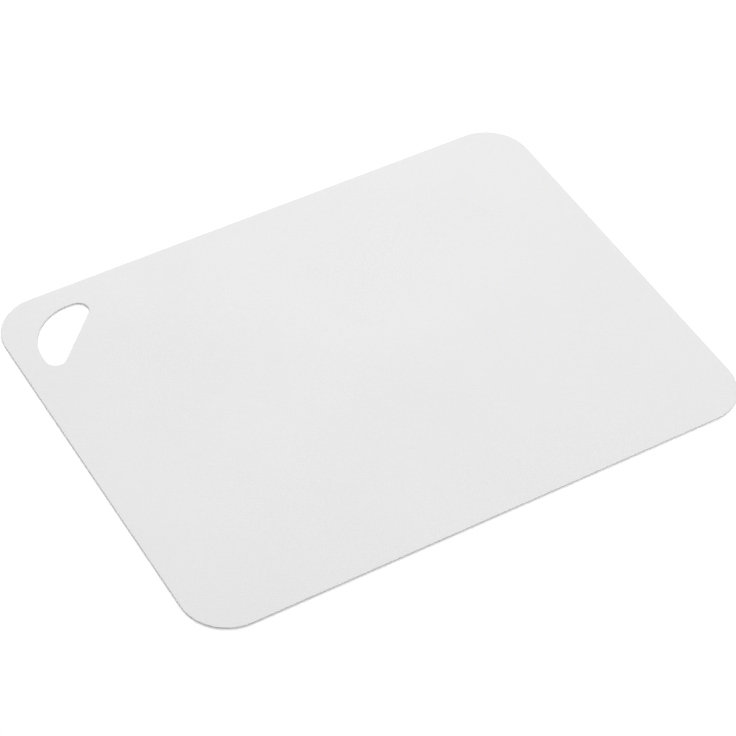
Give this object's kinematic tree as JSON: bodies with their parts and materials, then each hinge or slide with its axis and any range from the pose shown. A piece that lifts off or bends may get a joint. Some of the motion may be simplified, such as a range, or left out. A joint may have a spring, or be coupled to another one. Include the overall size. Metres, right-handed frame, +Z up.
{
  "type": "flexible cutting mat",
  "caption": "Thin flexible cutting mat: a flat rounded rectangle of plastic sheet with a D-shaped hand hole set across one corner.",
  "frame": {"origin": "middle of the underside, on the surface that the mat lies on", "axes": "+X along the long sides, +Y along the short sides towards the side that the hand hole is on, +Z up through the sheet; the hand hole is in the corner at -X +Y"},
  "size_m": [0.38, 0.29, 0.0012],
  "materials": {
    "sheet": "white polypropylene sheet, finely embossed, matte"
  },
  "bodies": {
    "root": {"cutting_sheet": "sheet"}
  },
  "joints": []
}
